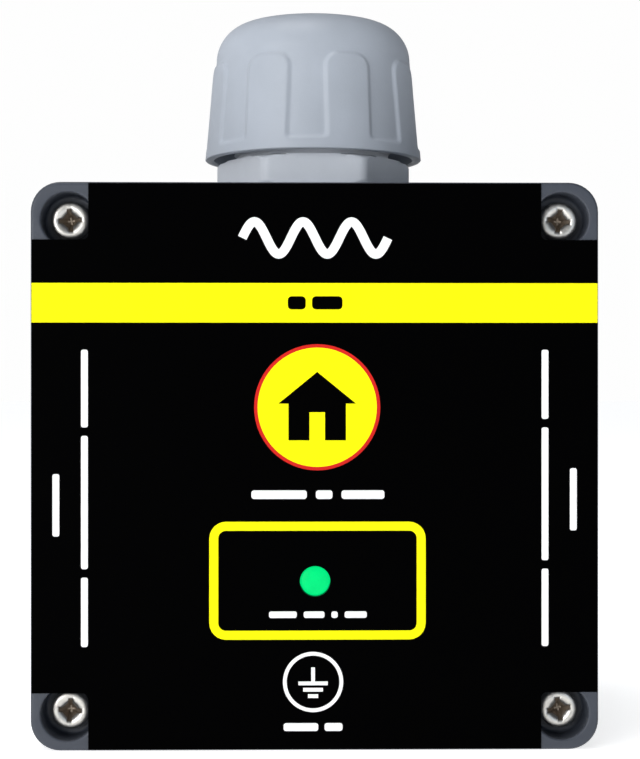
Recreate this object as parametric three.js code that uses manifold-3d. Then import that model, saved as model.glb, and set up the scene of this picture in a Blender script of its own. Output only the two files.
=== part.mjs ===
// Whole house surge protector: a square screwed enclosure with a round-headed cable gland on its top.
// Units are millimetres. Parts are modelled upright, with x to the right, y up and z towards the front,
// and the group at the end turns the whole so that +Z is up and the front looks along -Y.
// The origin is the middle of the enclosure's bottom face.
import * as THREE from "three";
import { mergeVertices } from "three/addons/utils/BufferGeometryUtils.js";
import Module from "manifold-3d";

const wasm = await Module();
wasm.setup();

// ---- driving dimensions ----
const WIDTH = 82;
const HEIGHT = 82;
const DEPTH = 55;
const CORNER_RADIUS = 4.3;
const WALL = 3;
const CLEAR = 0.05; // gap between flat faces that touch
const FIT = 0.15; // radial play between a round piece and its hole
const OVER = 1; // how far a cutting shape runs past the face it cuts

const HALF = WIDTH / 2;
const MIDDLE = HEIGHT / 2;
const FRONT = DEPTH / 2;
const BACK = -DEPTH / 2;
const PARTING = FRONT - 17; // where the lid meets the base
const LABEL_THICKNESS = 0.18;
const LID_FRONT = FRONT - LABEL_THICKNESS - CLEAR / 2;
const LID_INSIDE = LID_FRONT - 2.8;
const FLOOR = BACK + WALL; // inside of the back wall
const WALL_HOLE = { radius: 2.25, x: 34, y: 20 }; // screw holes in the back wall, from its middle

// lid screws, in the four corners
const SCREW_INSET = 5.35;
const SCREW_LENGTH = 18;
const SHANK_RADIUS = 1.45;
const HEAD = { foot: 2.75, crown: 2.2, height: 2.2 };
const HEAD_CROSS = { reach: 1.5, halfWidth: 0.3, depth: 1.1 };
const POCKET_RADIUS = 3.9;
const POCKET_FLOOR = LID_FRONT - 5;
const WEB = 3; // plastic that the screw head bears on
const WEB_HOLE_RADIUS = 1.8;
const UNDER_WEB_RADIUS = 3.2;
const RETAINER = { radius: 2.9, thickness: 1.2, lift: 0.7 };
const INSERT = { radius: 2.1, length: 6, sunk: 0.1, spareDepth: 3 };

// the seal runs round the rim and passes inside the screws
const CORNER_CUT = 14.65;
const TONGUE = { outer: 1.2, inner: 2.4, height: 1.2 };
const GROOVE = { outer: 0.9, inner: 2.7, depth: 2.1 };
const SEAL = { outer: 1.0, inner: 2.6, thickness: 0.75 };

// face label: a cross that leaves the four corners of the lid bare
const LABEL_EDGE = 0.15;
const LABEL_NOTCH = 8.35;
const NOTCH_RADIUS = 0.8;

// status light
const LIGHT_HEIGHT = 24.4;
const LENS_RADIUS = 2.1;
const LENS_FLANGE = { radius: 3.4, thickness: 1 };
const LAMP = { radius: 2.5, flange: 2.9, flangeThickness: 1, straight: 6, gap: 1.2 };
const SPACER = { outer: 2.9, inner: 1.4 };

// circuit board
const BOARD = { halfWidth: 31, bottom: 10, top: 66, thickness: 1.6, hole: 1.6 };
const POST = { radius: 3, hole: 1.2, height: 7.5, x: 27.5, low: 13.5, high: 62.5 };
const BOARD_BACK = FLOOR + POST.height + CLEAR;
const BOARD_FRONT = BOARD_BACK + BOARD.thickness;
const SEAT = BOARD_FRONT + CLEAR; // where components stand
const BOARD_SCREW = { shank: 1.05, length: 5.5, head: 2.4, height: 1.7 };
const BOARD_SCREW_CROSS = { reach: 1.3, halfWidth: 0.3, depth: 0.8 };

// cable gland
const HEX_RADIUS = 27 / Math.sqrt(3); // 27 mm across flats
const STEM_RADIUS = 10.5;
const BORE_RADIUS = 7.5;
const WASHER = { radius: 15.75, thickness: 1.1 };
const HEX_BOTTOM = HEIGHT + WASHER.thickness + 2 * CLEAR;
const HEX_TOP = 88;
const NECK = { radius: 12.6, top: 99.5, cup: 10.2, cupFloor: 90 };
const STEM_END = 72.4;
const LOCKNUT_THICKNESS = 5;
const GROMMET = { radius: 9.9, hole: 4.9, top: 101.5 };
const GLAND_PLAY = 0.25; // radial play between the stem and what goes round it
const NUT = { bottom: 88.3, top: 110, foot: 17.2, shoulder: 15.8, shoulderHeight: 104, bore: 13 };
const NUT_MOUTH = { radius: 7.2, depth: 3, flareRadius: 9.8, flareDepth: 4 };
const PADS = { count: 8, angle: 25, turned: -3.8, proud: 0.4, top: 103 }; // grip pads, angles in degrees
const RIM_HEIGHT = 1.8;
const SLIP_RING = { outer: 10, hole: 6.4, bottom: 101.8, top: 103.4 };

// electronics on the board
const VARISTOR = { radius: 10, thickness: 5, x: 16, rows: [17, 26, 35], leg: 0.5, lift: 1.6 };
const THERMAL_FUSE = { radius: 2, length: 11, span: 15, y: 42, xs: [-19, 0, 19] };
const VARISTOR_LEG_SPAN = 7.5;
const RESISTOR = { radius: 1.2, length: 6.5, span: 10, x: 8, ys: [51, 47] };
const DIODE = { x: 21, y: 49 };
const CAPACITOR = { halfLength: 9, halfWidth: 3.5, lift: 0.3, top: 12, x: -17, y: 49.5 };
const TERMINALS = { poles: 4, pitch: 7.5, depth: 9.5, height: 12, bottom: 55 };
const TERMINAL_WELL = { radius: 2.2, depth: 7, y: TERMINALS.depth / 2 - 0.5 };
const WIRE_OPENING = { halfWidth: 2.6, depth: 4, bottom: 2, top: 7 };
const TERMINAL_SCREW = { radius: 1.9, height: 3, slotHalfWidth: 0.35, slotDepth: 1 };

const ROUND = 24; // sides of a small round piece
const FINE = 40; // sides of the gland's round pieces

// ---- materials ----
const finish = (color, roughness, metalness = 0) =>
  new THREE.MeshStandardMaterial({ color, roughness, metalness });
const housingPlastic = finish(0x4e545f, 0.55);
const glandNylon = finish(0xb4bac4, 0.42);
const labelFilm = finish(0x0b0b0d, 0.35);
const sealRubber = finish(0x23262b, 0.85);
const nickel = finish(0xd8dadd, 0.28, 1);
const brass = finish(0xc9a24a, 0.35, 1);
const clearNylon = finish(0xe9e7df, 0.5);
const greenLens = finish(0x03fa89, 0.2);
const boardLaminate = finish(0x1f6b3f, 0.5);
const varistorCoat = finish(0x2352a5, 0.5);
const fuseCoat = finish(0xd9d2c0, 0.55);
const capacitorCase = finish(0xe0b62c, 0.45);
const resistorCoat = finish(0xd8c08a, 0.6);
const blackPlastic = finish(0x17181b, 0.5);
const terminalPlastic = finish(0x2f8a4a, 0.5);

// ---- making and joining solids ----

// A closed three.js geometry as a solid whose faces point out.
function solid(geometry) {
  const bare = geometry.clone();
  bare.deleteAttribute("normal");
  bare.deleteAttribute("uv");
  const merged = mergeVertices(bare, 1e-4);
  const corners = merged.index.array;
  const triangles = [];
  for (let i = 0; i < corners.length; i += 3) {
    const [a, b, c] = corners.slice(i, i + 3);
    if (a !== b && b !== c && c !== a) triangles.push(a, b, c);
  }
  const build = (list) =>
    new wasm.Manifold(
      new wasm.Mesh({
        numProp: 3,
        vertProperties: merged.attributes.position.array,
        triVerts: new Uint32Array(list),
      }),
    );
  const made = build(triangles);
  return made.volume() < 0 ? build(triangles.reverse()) : made;
}

const join = (...solids) => solids.reduce((whole, next) => whole.add(next));
const cut = (body, ...tools) => tools.reduce((left, tool) => left.subtract(tool), body);

// A box between two corners.
function block(low, high) {
  const [w, h, d] = high.map((v, i) => v - low[i]);
  const middle = high.map((v, i) => (v + low[i]) / 2);
  return solid(new THREE.BoxGeometry(w, h, d).translate(...middle));
}

// A flat outline given thickness along z.
function prism(outline, from, to) {
  const options = { depth: to - from, bevelEnabled: false, curveSegments: 6 };
  return solid(new THREE.ExtrudeGeometry(outline, options).translate(0, 0, from));
}

// A round rod along z.
function rod(radius, from, to, x = 0, y = 0, sides = ROUND) {
  const geometry = new THREE.CylinderGeometry(radius, radius, to - from, sides);
  return solid(geometry.rotateX(Math.PI / 2).translate(x, y, (from + to) / 2));
}

// A round rod along x.
function crossRod(radius, from, to, y, z, sides = 16) {
  const geometry = new THREE.CylinderGeometry(radius, radius, to - from, sides);
  return solid(geometry.rotateZ(Math.PI / 2).translate((from + to) / 2, y, z));
}

// A profile of [radius, height] corners turned about the y axis.
function turned(profile, sides = FINE) {
  const points = [...profile, profile[0]].map(([r, h]) => new THREE.Vector2(r, h));
  return solid(new THREE.LatheGeometry(points, sides));
}

const ring = (inner, outer, bottom, top, sides = FINE) =>
  turned([[inner, bottom], [outer, bottom], [outer, top], [inner, top]], sides);

// A six-sided prism along y with two of its corners to the left and right.
function hexagon(radius, bottom, top) {
  const geometry = new THREE.CylinderGeometry(radius, radius, top - bottom, 6);
  return solid(geometry.rotateY(Math.PI / 6).translate(0, (bottom + top) / 2, 0));
}

// ---- the group that holds every part ----
const enclosure = new THREE.Group();
const electronics = new THREE.Group();
const gland = new THREE.Group();

function add(parent, name, shape, material, x = 0, y = 0, z = 0) {
  const data = shape.getMesh();
  const geometry = new THREE.BufferGeometry();
  geometry.setAttribute("position", new THREE.BufferAttribute(data.vertProperties, 3));
  geometry.setIndex(new THREE.BufferAttribute(data.triVerts, 1));
  geometry.computeVertexNormals();
  const mesh = new THREE.Mesh(geometry, material);
  mesh.name = name;
  mesh.position.set(x, y, z);
  parent.add(mesh);
}

// ---- outlines ----

function roundedSquare(half, radius) {
  const shape = new THREE.Shape();
  const near = half - radius;
  shape.absarc(near, MIDDLE + near, radius, 0, Math.PI / 2);
  shape.absarc(-near, MIDDLE + near, radius, Math.PI / 2, Math.PI);
  shape.absarc(-near, MIDDLE - near, radius, Math.PI, 1.5 * Math.PI);
  shape.absarc(near, MIDDLE - near, radius, 1.5 * Math.PI, 2 * Math.PI);
  return shape;
}

// The square with cut corners that lies `inset` inside the enclosure's walls.
function cutSquare(inset) {
  const half = HALF - inset;
  const corner = CORNER_CUT - (2 - Math.SQRT2) * inset;
  const near = half - corner;
  const points = [
    [half, near], [near, half], [-near, half], [-half, near],
    [-half, -near], [-near, -half], [near, -half], [half, -near],
  ];
  return new THREE.Shape(points.map(([x, y]) => new THREE.Vector2(x, MIDDLE + y)));
}

const sealRing = ({ outer, inner }, from, to) =>
  prism(cutSquare(outer), from, to).subtract(prism(cutSquare(inner), from - OVER, to + OVER));

// A cross with small round inner corners, where each corner of the lid is left bare.
function labelOutline() {
  const half = HALF - LABEL_EDGE;
  const notch = HALF - LABEL_NOTCH;
  const bend = notch + NOTCH_RADIUS;
  const shape = new THREE.Shape();
  for (let quarter = 0; quarter < 4; quarter++) {
    const turn = (quarter * Math.PI) / 2;
    const [c, s] = [Math.round(Math.cos(turn)), Math.round(Math.sin(turn))];
    const at = (x, y) => [c * x - s * y, MIDDLE + s * x + c * y];
    if (quarter === 0) shape.moveTo(...at(half, -notch));
    shape.lineTo(...at(half, notch));
    shape.absarc(...at(bend, bend), NOTCH_RADIUS, turn - Math.PI / 2, turn - Math.PI, true);
    shape.lineTo(...at(notch, half));
  }
  return shape;
}

const corners = [[1, 1], [-1, 1], [-1, -1], [1, -1]].map(([sx, sy]) => [
  sx * (HALF - SCREW_INSET),
  MIDDLE + sy * (HALF - SCREW_INSET),
]);
const postPlaces = [
  [POST.x, POST.high], [-POST.x, POST.high], [-POST.x, POST.low], [POST.x, POST.low],
];
const wallHoles = corners.map(([x, y]) => [
  Math.sign(x) * WALL_HOLE.x,
  MIDDLE + Math.sign(y - MIDDLE) * WALL_HOLE.y,
]);

// ---- enclosure ----

function makeBase() {
  const sunk = 0.5; // how deep the tongue and the posts are set into the shell
  const shell = prism(roundedSquare(HALF, CORNER_RADIUS), BACK, PARTING);
  const room = prism(cutSquare(WALL), FLOOR, PARTING + OVER);
  const tongue = sealRing(TONGUE, PARTING - sunk, PARTING + TONGUE.height);
  const posts = postPlaces.map(([x, y]) => rod(POST.radius, FLOOR - sunk, FLOOR + POST.height, x, y));
  const postHoles = postPlaces.map(([x, y]) => rod(POST.hole, FLOOR + sunk, BOARD_BACK + OVER, x, y, 16));
  const insertFloor = PARTING - INSERT.length - INSERT.spareDepth;
  const insertHoles = corners.map(([x, y]) => rod(INSERT.radius + FIT, insertFloor, PARTING + OVER, x, y));
  const fixings = wallHoles.map(([x, y]) => rod(WALL_HOLE.radius, BACK - OVER, FLOOR + OVER, x, y));
  const glandHole = ring(0, STEM_RADIUS + 0.4, HEIGHT - WALL - OVER, HEIGHT + OVER);
  const body = join(shell.subtract(room), tongue, ...posts);
  return cut(body, ...postHoles, ...insertHoles, ...fixings, glandHole);
}

function makeLid() {
  const rim = PARTING + CLEAR;
  const shell = prism(roundedSquare(HALF, CORNER_RADIUS), rim, LID_FRONT);
  const room = prism(cutSquare(WALL), rim - OVER, LID_INSIDE);
  const groove = sealRing(GROOVE, rim - OVER, rim + GROOVE.depth);
  const pockets = corners.map(([x, y]) => rod(POCKET_RADIUS, POCKET_FLOOR, LID_FRONT + OVER, x, y));
  const webHoles = corners.map(([x, y]) => rod(WEB_HOLE_RADIUS, PARTING, LID_FRONT, x, y));
  const underWeb = corners.map(([x, y]) => rod(UNDER_WEB_RADIUS, rim - OVER, POCKET_FLOOR - WEB, x, y));
  const lensHole = rod(LENS_RADIUS + FIT, LID_INSIDE - OVER, LID_FRONT + OVER, 0, LIGHT_HEIGHT);
  return cut(shell, room, groove, ...pockets, ...webHoles, ...underWeb, lensHole);
}

// Two crossed slots, cut into a screw head whose top is at `top`.
function crossRecess({ reach, halfWidth, depth }, top) {
  const slot = (w, h) => block([-w, -h, top - depth], [w, h, top + OVER]);
  return [slot(reach, halfWidth), slot(halfWidth, reach)];
}

function makeScrew() {
  const { foot, crown, height } = HEAD;
  const shank = rod(SHANK_RADIUS, -SCREW_LENGTH, height / 2, 0, 0, 16);
  const cap = new THREE.CylinderGeometry(crown, foot, height, ROUND).rotateX(Math.PI / 2);
  const head = solid(cap.translate(0, 0, height / 2));
  return cut(join(shank, head), ...crossRecess(HEAD_CROSS, height));
}

// The window stands just behind the label's face.
function makeLens() {
  const { radius, thickness } = LENS_FLANGE;
  const flangeFront = LID_INSIDE - CLEAR;
  return join(rod(LENS_RADIUS, flangeFront - thickness / 2, FRONT - 0.1),
    rod(radius, flangeFront - thickness, flangeFront));
}

function makeLabel() {
  const lensHole = rod(LENS_RADIUS + FIT, 0, FRONT + OVER, 0, LIGHT_HEIGHT);
  return prism(labelOutline(), FRONT - LABEL_THICKNESS, FRONT).subtract(lensHole);
}

const gasketBack = PARTING + TONGUE.height + CLEAR;
const gasket = sealRing(SEAL, gasketBack, gasketBack + SEAL.thickness);
add(enclosure, "enclosure_base", makeBase(), housingPlastic);
add(enclosure, "enclosure_lid", makeLid(), housingPlastic);
add(enclosure, "lid_gasket", gasket, sealRubber);
add(enclosure, "face_label", makeLabel(), labelFilm);
add(enclosure, "status_lens", makeLens(), greenLens, 0, LIGHT_HEIGHT);

const screw = makeScrew();
const shankHole = (from, to) => rod(SHANK_RADIUS + FIT, from - OVER, to + OVER);
const retainer = rod(RETAINER.radius, 0, RETAINER.thickness).subtract(shankHole(0, RETAINER.thickness));
const insert = rod(INSERT.radius, -INSERT.length, 0).subtract(shankHole(-INSERT.length, 0));
corners.forEach(([x, y], i) => {
  add(enclosure, `lid_screw_${i + 1}`, screw, nickel, x, y, POCKET_FLOOR + CLEAR);
  add(enclosure, `screw_retainer_${i + 1}`, retainer, clearNylon, x, y, PARTING + RETAINER.lift);
  add(enclosure, `screw_insert_${i + 1}`, insert, brass, x, y, PARTING - INSERT.sunk);
});

// ---- circuit board and what stands on it ----

function makeBoard() {
  const { halfWidth, bottom, top, hole } = BOARD;
  const plate = block([-halfWidth, bottom, BOARD_BACK], [halfWidth, top, BOARD_FRONT]);
  const holes = postPlaces.map(([x, y]) => rod(hole, BOARD_BACK - OVER, BOARD_FRONT + OVER, x, y));
  return cut(plate, ...holes);
}

function makeBoardScrew() {
  const { shank, length, head, height } = BOARD_SCREW;
  const body = join(rod(shank, -length, height / 2, 0, 0, 12), rod(head, 0, height, 0, 0, 16));
  return cut(body, ...crossRecess(BOARD_SCREW_CROSS, height));
}

// A coated disc on edge, with two legs.
function makeVaristor() {
  const { radius, thickness, leg, lift } = VARISTOR;
  const disc = new THREE.CylinderGeometry(radius, radius, thickness, ROUND);
  const middle = lift + radius;
  const legs = [-1, 1].map((side) => rod(leg, 0, radius / 2, (side * VARISTOR_LEG_SPAN) / 2, 0, 8));
  return join(solid(disc.translate(0, 0, middle)), ...legs);
}

// A small round body lying along x, with a wire bent down at each end.
function makeAxial({ radius, length, span }, wire = 0.4) {
  const height = radius + 0.6;
  const body = crossRod(radius, -length / 2, length / 2, 0, height, 20);
  const lead = crossRod(wire, -span / 2, span / 2, 0, height, 8);
  const feet = [-1, 1].map((side) => rod(wire, 0, height, (side * (span - 2 * wire)) / 2, 0, 8));
  return join(body, lead, ...feet);
}

function makeCapacitor() {
  const { halfLength, halfWidth, lift, top } = CAPACITOR;
  return block([-halfLength, -halfWidth, lift], [halfLength, halfWidth, top]);
}

const poleMiddle = (pole) => (pole + 0.5 - TERMINALS.poles / 2) * TERMINALS.pitch;

// A block with a screw well on its front and a wire opening on its top for each pole.
function makeTerminalBlock() {
  const { poles, pitch, depth, height } = TERMINALS;
  const half = (poles * pitch) / 2;
  const wellFloor = height - TERMINAL_WELL.depth;
  const wireFloor = depth - WIRE_OPENING.depth;
  const hollows = [];
  for (let pole = 0; pole < poles; pole++) {
    const x = poleMiddle(pole);
    const { halfWidth, bottom, top } = WIRE_OPENING;
    hollows.push(rod(TERMINAL_WELL.radius, wellFloor, height + OVER, x, TERMINAL_WELL.y));
    hollows.push(block([x - halfWidth, wireFloor, bottom], [x + halfWidth, depth + OVER, top]));
  }
  return cut(block([-half, 0, 0], [half, depth, height]), ...hollows);
}

function makeTerminalScrew() {
  const { radius, height, slotHalfWidth, slotDepth } = TERMINAL_SCREW;
  const slot = block([-radius - OVER, -slotHalfWidth, height - slotDepth],
    [radius + OVER, slotHalfWidth, height + OVER]);
  return rod(radius, 0, height, 0, 0, 20).subtract(slot);
}

// A flanged body with a round nose.
function makeLamp() {
  const { radius, flange, flangeThickness, straight } = LAMP;
  const outline = [[0, 0], [flange, 0], [flange, flangeThickness], [radius, flangeThickness]];
  outline.push([radius, straight]);
  const steps = 5;
  for (let step = 1; step < steps; step++) {
    const angle = (step * Math.PI) / (2 * steps);
    outline.push([radius * Math.cos(angle), straight + radius * Math.sin(angle)]);
  }
  outline.push([0, straight + radius]);
  const points = outline.map(([r, h]) => new THREE.Vector2(r, h));
  return solid(new THREE.LatheGeometry(points, ROUND).rotateX(Math.PI / 2));
}

const lampSeat = LID_INSIDE - LENS_FLANGE.thickness - LAMP.gap - LAMP.straight - LAMP.radius;
const spacerFront = lampSeat - CLEAR;
const spacer = rod(SPACER.outer, SEAT, spacerFront)
  .subtract(rod(SPACER.inner, SEAT - OVER, spacerFront + OVER));
const boardScrew = makeBoardScrew();
const varistor = makeVaristor();
const varistorPlaces = VARISTOR.rows.flatMap((y) => [[-VARISTOR.x, y], [VARISTOR.x, y]]);
const thermalFuse = makeAxial(THERMAL_FUSE, 0.5);
const resistor = makeAxial(RESISTOR);
const terminalScrew = makeTerminalScrew();
const terminalScrewSeat = SEAT + TERMINALS.height - TERMINAL_WELL.depth + 0.1;

add(electronics, "circuit_board", makeBoard(), boardLaminate);
postPlaces.forEach(([x, y], i) => {
  add(electronics, `board_screw_${i + 1}`, boardScrew, nickel, x, y, SEAT);
});
varistorPlaces.forEach(([x, y], i) => {
  add(electronics, `varistor_${i + 1}`, varistor, varistorCoat, x, y, SEAT);
});
THERMAL_FUSE.xs.forEach((x, i) => {
  add(electronics, `thermal_fuse_${i + 1}`, thermalFuse, fuseCoat, x, THERMAL_FUSE.y, SEAT);
});
RESISTOR.ys.forEach((y, i) => {
  add(electronics, `lamp_resistor_${i + 1}`, resistor, resistorCoat, RESISTOR.x, y, SEAT);
});
add(electronics, "lamp_diode", resistor, blackPlastic, DIODE.x, DIODE.y, SEAT);
add(electronics, "film_capacitor", makeCapacitor(), capacitorCase, CAPACITOR.x, CAPACITOR.y, SEAT);
add(electronics, "lamp_spacer", spacer, clearNylon, 0, LIGHT_HEIGHT);
add(electronics, "status_lamp", makeLamp(), greenLens, 0, LIGHT_HEIGHT, lampSeat);
add(electronics, "terminal_block", makeTerminalBlock(), terminalPlastic, 0, TERMINALS.bottom, SEAT);
for (let pole = 0; pole < TERMINALS.poles; pole++) {
  const [x, y] = [poleMiddle(pole), TERMINALS.bottom + TERMINAL_WELL.y];
  add(electronics, `terminal_screw_${pole + 1}`, terminalScrew, nickel, x, y, terminalScrewSeat);
}

// ---- cable gland ----

function makeGlandBody() {
  const { radius, top, cup, cupFloor } = NECK;
  const outside = join(hexagon(HEX_RADIUS, HEX_BOTTOM, HEX_TOP),
    ring(0, STEM_RADIUS, STEM_END, HEX_BOTTOM + OVER),
    ring(0, radius, HEX_TOP - OVER, top));
  const bore = turned([[0, STEM_END - OVER], [BORE_RADIUS, STEM_END - OVER], [BORE_RADIUS, cupFloor],
    [cup, cupFloor], [cup, top + OVER], [0, top + OVER]]);
  return outside.subtract(bore);
}

// The nut's outer face, drawn in by `inset`: a tapered skirt, a round shoulder and a flat crown.
function nutProfile(inset) {
  const { bottom, top, foot, shoulder, shoulderHeight } = NUT;
  const bend = top - shoulderHeight;
  const profile = [[0, bottom], [foot - inset, bottom], [shoulder - inset, shoulderHeight]];
  const steps = 6;
  for (let step = 1; step <= steps; step++) {
    const angle = (step * Math.PI) / (2 * steps);
    const radius = shoulder - inset - bend * (1 - Math.cos(angle));
    profile.push([radius, shoulderHeight + bend * Math.sin(angle)]);
  }
  profile.push([0, top]);
  return profile;
}

function makeDomeNut() {
  const { bottom, top, foot, bore } = NUT;
  const full = turned(nutProfile(0));
  const slim = turned(nutProfile(PADS.proud));
  const reach = 2 * foot;
  const halfAngle = THREE.MathUtils.degToRad(PADS.angle / 2);
  const wedge = new THREE.Shape();
  wedge.moveTo(0, 0);
  wedge.lineTo(reach * Math.cos(halfAngle), reach * Math.sin(halfAngle));
  wedge.lineTo(reach * Math.cos(halfAngle), -reach * Math.sin(halfAngle));
  const pads = [];
  for (let pad = 0; pad < PADS.count; pad++) {
    const turn = ((pad + 0.5) * 2 * Math.PI) / PADS.count + THREE.MathUtils.degToRad(PADS.turned);
    const sector = new THREE.ExtrudeGeometry(wedge, { depth: PADS.top - bottom, bevelEnabled: false });
    pads.push(solid(sector.rotateX(-Math.PI / 2).rotateY(turn).translate(0, bottom, 0)));
  }
  const rim = ring(0, reach, bottom - OVER, bottom + RIM_HEIGHT);
  const proud = full.intersect(join(rim, ...pads));
  const { radius, depth, flareRadius, flareDepth } = NUT_MOUTH;
  const inside = turned([[0, bottom - OVER], [bore, bottom - OVER], [bore, NECK.top + 1],
    [flareRadius, top - flareDepth], [radius, top - depth], [radius, top + OVER], [0, top + OVER]]);
  return join(slim, proud).subtract(inside);
}

function makeLocknut() {
  const top = HEIGHT - WALL - CLEAR;
  const bottom = top - LOCKNUT_THICKNESS;
  return hexagon(HEX_RADIUS, bottom, top)
    .subtract(ring(0, STEM_RADIUS + GLAND_PLAY, bottom - OVER, top + OVER));
}

const washer = ring(STEM_RADIUS + GLAND_PLAY, WASHER.radius, HEIGHT + CLEAR, HEX_BOTTOM - CLEAR);
const grommet = ring(GROMMET.hole, GROMMET.radius, NECK.cupFloor + CLEAR, GROMMET.top);
const slipRing = ring(SLIP_RING.hole, SLIP_RING.outer, SLIP_RING.bottom, SLIP_RING.top);
add(gland, "gland_body", makeGlandBody(), glandNylon);
add(gland, "gland_washer", washer, glandNylon);
add(gland, "gland_locknut", makeLocknut(), glandNylon);
add(gland, "gland_grommet", grommet, sealRubber);
add(gland, "gland_slip_ring", slipRing, clearNylon);
add(gland, "gland_dome_nut", makeDomeNut(), glandNylon);

// ---- the whole part, turned so that +Z is up ----
const surgeProtector = new THREE.Group();
surgeProtector.add(enclosure, electronics, gland);
surgeProtector.rotation.x = Math.PI / 2;

export default surgeProtector;
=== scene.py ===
"""Looks of the whole house surge protector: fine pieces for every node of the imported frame."""
import math

import bmesh
import bpy
from mathutils import Matrix, Vector
from mathutils.geometry import delaunay_2d_cdt, tessellate_polygon


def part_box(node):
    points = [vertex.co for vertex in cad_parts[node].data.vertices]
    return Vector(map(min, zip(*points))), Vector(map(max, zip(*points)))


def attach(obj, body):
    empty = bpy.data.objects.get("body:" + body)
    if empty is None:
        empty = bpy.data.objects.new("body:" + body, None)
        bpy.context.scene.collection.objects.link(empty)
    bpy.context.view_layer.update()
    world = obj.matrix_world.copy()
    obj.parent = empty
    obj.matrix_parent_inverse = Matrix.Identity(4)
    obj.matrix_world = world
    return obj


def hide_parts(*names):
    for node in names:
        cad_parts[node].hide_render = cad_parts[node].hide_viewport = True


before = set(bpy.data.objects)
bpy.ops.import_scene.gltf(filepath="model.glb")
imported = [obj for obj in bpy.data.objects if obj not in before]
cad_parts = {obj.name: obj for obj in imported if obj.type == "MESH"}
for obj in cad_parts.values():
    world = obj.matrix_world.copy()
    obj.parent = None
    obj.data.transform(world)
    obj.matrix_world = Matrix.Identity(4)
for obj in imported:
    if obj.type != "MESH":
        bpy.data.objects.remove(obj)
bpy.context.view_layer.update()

scene = bpy.context.scene
MM = 0.001


# ---- sizes, in millimetres, read from the frame ----

def mm_box(node):
    low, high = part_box(node)
    return low / MM, high / MM


def back_and_front(node):
    """A node's reach from back to front, counted outwards to the viewer."""
    low, high = mm_box(node)
    return -high.y, -low.y


base_low, base_high = mm_box("enclosure_base")
lid_low, lid_high = mm_box("enclosure_lid")
label_low = mm_box("face_label")[0]
nut_low, nut_high = mm_box("gland_dome_nut")
body_low, body_high = mm_box("gland_body")
washer_low, washer_high = mm_box("gland_washer")

HALF = lid_high.x
MIDDLE = (base_low.z + base_high.z) / 2
CORNER_RADIUS = 4.3
WALL = 3.0
BACK = -base_high.y
RIM = -lid_high.y
LID_FRONT = -lid_low.y
LABEL_FRONT = -label_low.y
LID_INSIDE = LID_FRONT - 2.8
FLOOR = BACK + WALL
SCREW_INSET = HALF - (mm_box("lid_screw_1")[0].x + mm_box("lid_screw_1")[1].x) / 2
POCKET_RADIUS = 3.9
POCKET_FLOOR = LID_FRONT - 5
WEB = 3.0
LIGHT_HEIGHT = (mm_box("status_lens")[0].z + mm_box("status_lens")[1].z) / 2
LENS_RADIUS = 2.1
CORNERS = [(sx * (HALF - SCREW_INSET), MIDDLE + sy * (HALF - SCREW_INSET))
           for sx, sy in ((1, 1), (-1, 1), (-1, -1), (1, -1))]


def facing_front(x, up, out):
    """A point given as seen from the front: right, up, and out towards the viewer."""
    return Vector((x, -out, up)) * MM


def upright(x, y, up):
    return Vector((x, y, up)) * MM


# ---- materials ----

def set_inputs(node, values):
    for socket, value in values.items():
        node.inputs[socket].default_value = value


def new_material(name, color, roughness, metallic=0.0, specular=0.5):
    material = bpy.data.materials.new(name)
    material.use_nodes = True
    set_inputs(material.node_tree.nodes["Principled BSDF"],
               {"Base Color": (*color, 1), "Roughness": roughness, "Metallic": metallic,
                "Specular IOR Level": specular})
    return material


def glow(material, color, strength):
    shader = material.node_tree.nodes["Principled BSDF"]
    set_inputs(shader, {"Emission Color": (*color, 1), "Emission Strength": strength})


def link(material, source, target):
    material.node_tree.links.new(source, target)


def noise(material, size_mm, detail=3.0):
    """A noise texture whose features are about size_mm across, fixed to the piece."""
    tree = material.node_tree
    place = tree.nodes.new("ShaderNodeTexCoord")
    texture = tree.nodes.new("ShaderNodeTexNoise")
    set_inputs(texture, {"Scale": 1 / (size_mm * MM), "Detail": detail})
    link(material, place.outputs["Object"], texture.inputs["Vector"])
    return texture.outputs["Fac"]


NOISE_LOW, NOISE_HIGH = 0.3, 0.7  # nearly all of a noise texture's values lie between these


def vary(material, socket, fac, low, high):
    """Lets a noise move a shader value or colour between low and high."""
    tree = material.node_tree
    shader = tree.nodes["Principled BSDF"]
    if isinstance(low, tuple):
        ramp = tree.nodes.new("ShaderNodeValToRGB")
        ends = (NOISE_LOW, low), (NOISE_HIGH, high)
        for element, (position, color) in zip(ramp.color_ramp.elements, ends):
            element.position = position
            element.color = (*color, 1)
        link(material, fac, ramp.inputs["Fac"])
        link(material, ramp.outputs["Color"], shader.inputs[socket])
        return
    spread = tree.nodes.new("ShaderNodeMapRange")
    set_inputs(spread, {"From Min": NOISE_LOW, "From Max": NOISE_HIGH, "To Min": low, "To Max": high})
    link(material, fac, spread.inputs["Value"])
    link(material, spread.outputs["Result"], shader.inputs[socket])


def bump(material, fac, height_mm):
    tree = material.node_tree
    node = tree.nodes.new("ShaderNodeBump")
    set_inputs(node, {"Distance": height_mm * MM, "Strength": 1.0})
    link(material, fac, node.inputs["Height"])
    link(material, node.outputs["Normal"], tree.nodes["Principled BSDF"].inputs["Normal"])


def plastic(name, color, roughness=0.5, grain_mm=0.35, grain_height=0.02, specular=0.4, drift=0.08):
    """Moulded plastic: a fine texture, and colour and gloss that drift a little over the surface."""
    material = new_material(name, color, roughness, specular=specular)
    darker = tuple(c * (1 - drift) for c in color)
    lighter = tuple(min(1, c * (1 + drift)) for c in color)
    vary(material, "Base Color", noise(material, 9, 4), darker, lighter)
    vary(material, "Roughness", noise(material, 2.5), roughness - 0.06, roughness + 0.06)
    bump(material, noise(material, grain_mm, 2), grain_height)
    return material


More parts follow.
